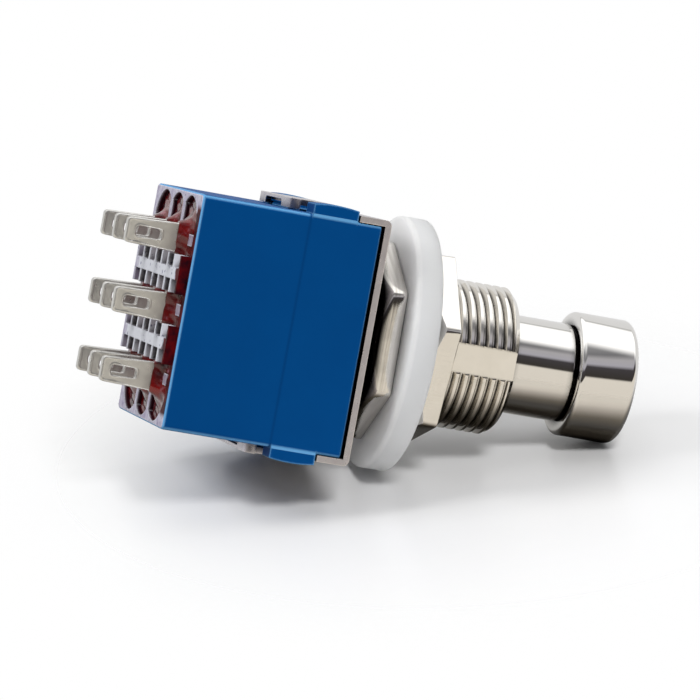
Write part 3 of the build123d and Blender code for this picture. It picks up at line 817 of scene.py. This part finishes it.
# ---- floor, lamps, world and camera ----
def lowest_point():
    """How far below the origin the switch reaches along its resting up direction."""
    up = np.array(REST_UP)
    reach = []
    for node in nodes.values():
        spots = np.zeros(len(node.data.vertices) * 3, np.float32)
        node.data.vertices.foreach_get("co", spots)
        reach.append((spots.reshape(-1, 3) @ up).min())
    return float(min(reach))


FLOOR_AT = lowest_point() - 0.02 * MM
OBJECT_CENTRE = Vector((0, 0, 2)) * MM
# metres: the floor's disc, and the distances between which it fades out
FLOOR_RADIUS = 0.20
FADE_FROM, FADE_TO = 0.014, 0.040


def at(azimuth, elevation, distance):
    """Point seen from the object: azimuth from straight away from the camera to its right."""
    a, e = radians(azimuth), radians(elevation)
    way = cos(e) * (cos(a) * REST_FORWARD + sin(a) * REST_RIGHT) + sin(e) * REST_UP
    return OBJECT_CENTRE + way * distance


def make_floor():
    """Pale floor: a disc under the switch that fades out towards its rim."""
    centre = OBJECT_CENTRE - (OBJECT_CENTRE.dot(REST_UP) - FLOOR_AT) * REST_UP
    ring = np.linspace(0, FLOOR_RADIUS, 12)[:, None]
    angle = np.linspace(0, 2 * pi, 96, endpoint=False)
    across, along = np.array(REST_RIGHT), np.array(REST_FORWARD)
    points = (np.array(centre) + (ring * np.cos(angle))[..., None] * across
              + (ring * np.sin(angle))[..., None] * along)
    floor = piece("floor", points / MM, wrap_rows=False)
    made = Finish("pale_floor", Roughness=0.3, Specular_IOR_Level=0.6)
    glossy = made.add("ShaderNodeLightPath").outputs["Is Glossy Ray"]
    # metal sees a beige bench with a painted contact shadow, dark towards the line that the washer
    # and the cap stand on
    before = made.from_to(made.across(STAND_SLOPE * REST_RIGHT - REST_FORWARD), -4, 16)
    bench_with_painted_shadow = made.ramp(before, [
        (0.0, (0.60, 0.59, 0.57)), (0.10, (0.25, 0.23, 0.20)), (0.18, (0.02, 0.016, 0.012)),
        (0.45, (0.04, 0.034, 0.026)), (0.55, (0.16, 0.14, 0.11)), (0.66, (0.42, 0.38, 0.33)),
        (0.80, (0.64, 0.59, 0.52)), (1.0, (0.74, 0.69, 0.61))])
    made.link(made.mix(glossy, (0.91, 0.91, 0.915, 1), bench_with_painted_shadow), "Base Color")
    middle = centre + Vector((0, 0, 6)) * MM
    shift = made.add("ShaderNodeVectorMath", [(0, made.place), (1, middle)], operation="SUBTRACT")
    far = made.add("ShaderNodeVectorMath", [(0, shift.outputs["Vector"])], operation="LENGTH")
    fade = made.from_to(far.outputs["Value"], FADE_FROM, FADE_TO,
                        interpolation_type="SMOOTHSTEP")
    behind = made.add("ShaderNodeNewGeometry").outputs["Backfacing"]
    through = made.add("ShaderNodeBsdfTransparent").outputs["BSDF"]
    both = made.blend(made.highest(fade, behind), made.shader.outputs["BSDF"], through)
    made.tree.links.new(both, made.output.inputs["Surface"])
    floor.data.materials.append(made.material)
    if floor.data.polygons[0].normal.dot(REST_UP) < 0:
        floor.data.flip_normals()


def make_lamp(name, azimuth, elevation, size, power):
    """Soft square lamp turned to the switch, out of sight of the metal."""
    data = bpy.data.lights.new(name, "AREA")
    data.shape = "SQUARE"
    data.size = size
    data.energy = power
    lamp = bpy.data.objects.new(name, data)
    lamp.visible_glossy = False
    lamp.location = at(azimuth, elevation, LAMP_DISTANCE)
    lamp.rotation_euler = (OBJECT_CENTRE - lamp.location).to_track_quat("-Z", "Y").to_euler()
    bpy.context.scene.collection.objects.link(lamp)


def make_world():
    """White room behind the switch; the camera's side of the room is dim above its table.

    Metal sees that room by direction. Everything else gets one even, soft light.
    """
    world = bpy.data.worlds.new("studio")
    world.use_nodes = True
    bpy.context.scene.world = world
    world.node_tree.nodes.clear()
    made = Nodes(world.node_tree)
    way = made.add("ShaderNodeTexCoord").outputs["Generated"]
    level = made.from_to(made.dot(way, REST_UP), -1, 1)

    def by_height(stops):
        """Colours of the room at heights from -1, straight down, to 1, straight up."""
        return made.ramp(level, [((height + 1) / 2, value) for height, value in stops])

    def backdrop(light, strength):
        """Light of a colour from everywhere."""
        return made.add("ShaderNodeBackground", [
            ("Color", light), ("Strength", strength)]).outputs["Background"]

    camera_side = by_height([
        (-1.0, (0.78, 0.73, 0.65)), (0.20, (0.82, 0.77, 0.685)), (0.25, (0.045, 0.04, 0.035)),
        (0.50, (0.06, 0.055, 0.06)), (0.57, (0.45, 0.44, 0.49)), (0.68, (0.46, 0.45, 0.47)),
        (0.75, (0.20, 0.20, 0.21)), (0.86, (0.34, 0.34, 0.35)), (1.0, grey(1.2))])
    far_side = by_height([
        (-1.0, grey(0.78)), (0.50, grey(0.80)), (0.54, (0.46, 0.46, 0.45)),
        (0.60, grey(1.35)), (1.0, grey(1.5))])
    side = made.from_to(made.dot(way, REST_FORWARD), -0.25, 0.05,
                        interpolation_type="SMOOTHSTEP")
    mirror = backdrop(made.mix(side, camera_side, far_side), 1.0)
    soft = backdrop((0.98, 0.99, 1, 1), 0.32)
    white = backdrop((1, 1, 1, 1), 1.0)
    path = made.add("ShaderNodeLightPath").outputs
    straight = made.highest(path["Is Camera Ray"], path["Is Transmission Ray"])
    surroundings = made.blend(straight, made.blend(path["Is Glossy Ray"], soft, mirror), white)
    output = made.add("ShaderNodeOutputWorld")
    made.tree.links.new(surroundings, output.inputs["Surface"])


def make_camera():
    """Long lens at the stand's angle."""
    data = bpy.data.cameras.new("camera")
    data.lens = CAMERA_LENS
    data.sensor_width = 36
    data.clip_start = 0.02
    camera = bpy.data.objects.new("camera", data)
    right = CAMERA_LOOK.cross(CAMERA_UP).normalized()
    up = right.cross(CAMERA_LOOK)
    camera.matrix_world = Matrix.Translation(CAMERA_AT) @ Matrix(
        (right, up, -CAMERA_LOOK)).transposed().to_4x4()
    bpy.context.scene.collection.objects.link(camera)
    bpy.context.scene.camera = camera


make_floor()
for name, azimuth, elevation, size, power in (("key", 160, 48, 0.08, 1.05),
                                              ("side", -98, 42, 0.15, 0.85),
                                              ("overhead", 20, 82, 0.30, 0.35)):
    make_lamp(name, azimuth, elevation, size, power)
make_world()
make_camera()
bpy.context.scene.view_settings.view_transform = "Standard"
